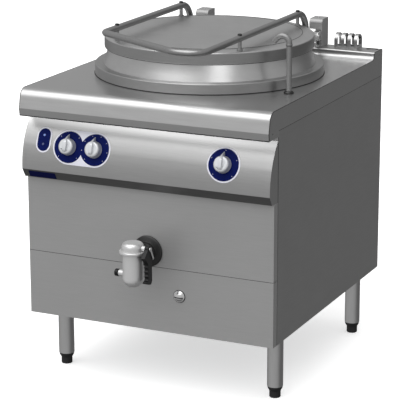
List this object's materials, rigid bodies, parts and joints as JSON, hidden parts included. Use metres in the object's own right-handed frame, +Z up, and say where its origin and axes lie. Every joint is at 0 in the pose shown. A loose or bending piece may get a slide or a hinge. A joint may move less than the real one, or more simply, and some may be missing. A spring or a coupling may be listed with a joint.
{
  "type": "gas boiling pan",
  "caption": "Free-standing gas boiling pan: square cabinet on legs, round vessel under a hinged lid with a looped tube handle, swivel filling spout, front control knobs and a lever drain tap.",
  "frame": {"origin": "The centre of the whole unit's footprint, on the floor", "axes": "+X to the right seen from the front, +Y to the back, +Z up"},
  "size_m": [0.8, 1.011, 1.0755],
  "materials": {
    "stainless": "fine satin grain",
    "chrome": "polished",
    "knob_metal": "satin anodised",
    "galvanised": "dull zinc coated sheet",
    "cast_iron": "rough casting",
    "copper": "drawn copper tube",
    "brass": "turned brass and yellow painted pipe",
    "mineral_wool": "pressed fibre",
    "black_plastic": "moulded, slight sheen",
    "blue_print": "printed film",
    "white_print": "printed film border",
    "lamp_lens": "translucent lens",
    "gasket_rubber": "silicone strip"
  },
  "bodies": {
    "cabinet": {"worktop": "stainless", "well_ring": "stainless", "vessel": "stainless", "insulation": "mineral_wool", "combustion_chamber": "galvanised", "burner": "cast_iron", "burner_stand": "galvanised", "flue_duct": "galvanised", "flue_guard": "chrome", "left_side_panel": "stainless", "right_side_panel": "stainless", "back_panel": "stainless", "base_tray": "galvanised", "upper_front_panel": "stainless", "lower_front_panel": "stainless", "control_panel": "stainless", "name_plate": "blue_print", "dial_plates": "white_print", "dial_faces": "blue_print", "lamp_lenses": "lamp_lens", "gas_valve": "galvanised", "thermostat": "galvanised", "water_valve": "brass", "gas_pipe": "brass", "burner_pipe": "copper", "water_pipes": "copper", "spout_flange": "chrome", "legs": "stainless", "hinge_housings": "stainless", "hinge_brackets": "galvanised", "hinge_pins": "chrome", "housing_screws": "chrome", "drain_pipe": "stainless", "tap_flange": "black_plastic", "tap_body": "stainless", "tap_cap": "chrome", "lever_pin": "chrome", "stub_cap": "black_plastic", "drain_plug": "chrome", "end_screws": "black_plastic"},
    "lid": {"lid_shell": "stainless", "lid_liner": "stainless", "lid_gasket": "gasket_rubber", "handle": "stainless", "handle_studs": "chrome", "stud_caps": "black_plastic", "hinge_levers": "galvanised"},
    "spout_arm": {"spout": "chrome"},
    "gas_knob": {"left_knob": "knob_metal", "left_spindle": "chrome"},
    "thermostat_knob": {"middle_knob": "knob_metal", "middle_spindle": "chrome"},
    "water_knob": {"right_knob": "knob_metal", "right_spindle": "chrome"},
    "drain_lever": {"tap_lever": "black_plastic"},
    "drain_plunger": {"tap_plunger": "chrome"},
    "foot_front_left": {"foot_front_left": "black_plastic"},
    "foot_front_right": {"foot_front_right": "black_plastic"},
    "foot_rear_left": {"foot_rear_left": "black_plastic"},
    "foot_rear_right": {"foot_rear_right": "black_plastic"}
  },
  "joints": [
    {"name": "lid_hinge", "type": "hinge", "parent": "cabinet", "child": "lid", "pos_m": [0, 0.4325, 0.96], "axis": [-1, 0, 0], "range_deg": [0, 90]},
    {"name": "spout_swivel", "type": "hinge", "parent": "cabinet", "child": "spout_arm", "pos_m": [0.342, -0.1305, 0.9], "axis": [0, 0, 1], "range_deg": [-90, 90]},
    {"name": "gas_knob_turn", "type": "hinge", "parent": "cabinet", "child": "gas_knob", "pos_m": [-0.247, -0.38791, 0.735], "axis": [0, -0.943, 0.3327], "range_deg": [0, 180]},
    {"name": "thermostat_turn", "type": "hinge", "parent": "cabinet", "child": "thermostat_knob", "pos_m": [-0.1608, -0.38791, 0.735], "axis": [0, -0.943, 0.3327], "range_deg": [-270, 0]},
    {"name": "water_knob_turn", "type": "hinge", "parent": "cabinet", "child": "water_knob", "pos_m": [0.2517, -0.38791, 0.735], "axis": [0, -0.943, 0.3327], "range_deg": [0, 180]},
    {"name": "tap_lever_lift", "type": "hinge", "parent": "cabinet", "child": "drain_lever", "pos_m": [0, -0.4655, 0.481], "axis": [-1, 0, 0], "range_deg": [0, 90]},
    {"name": "tap_plunger_rise", "type": "slide", "parent": "cabinet", "child": "drain_plunger", "axis": [0, 0, 1], "range_m": [0, 0.01]},
    {"name": "foot_front_left_screw", "type": "slide", "parent": "cabinet", "child": "foot_front_left", "axis": [0, 0, 1], "range_m": [-0.04, 0]},
    {"name": "foot_front_right_screw", "type": "slide", "parent": "cabinet", "child": "foot_front_right", "axis": [0, 0, 1], "range_m": [-0.04, 0]},
    {"name": "foot_rear_left_screw", "type": "slide", "parent": "cabinet", "child": "foot_rear_left", "axis": [0, 0, 1], "range_m": [-0.04, 0]},
    {"name": "foot_rear_right_screw", "type": "slide", "parent": "cabinet", "child": "foot_rear_right", "axis": [0, 0, 1], "range_m": [-0.04, 0]}
  ],
  "couplings": [
    {"joint": "tap_plunger_rise", "follows": "tap_lever_lift", "m_per_rad": 0.0063662}
  ]
}
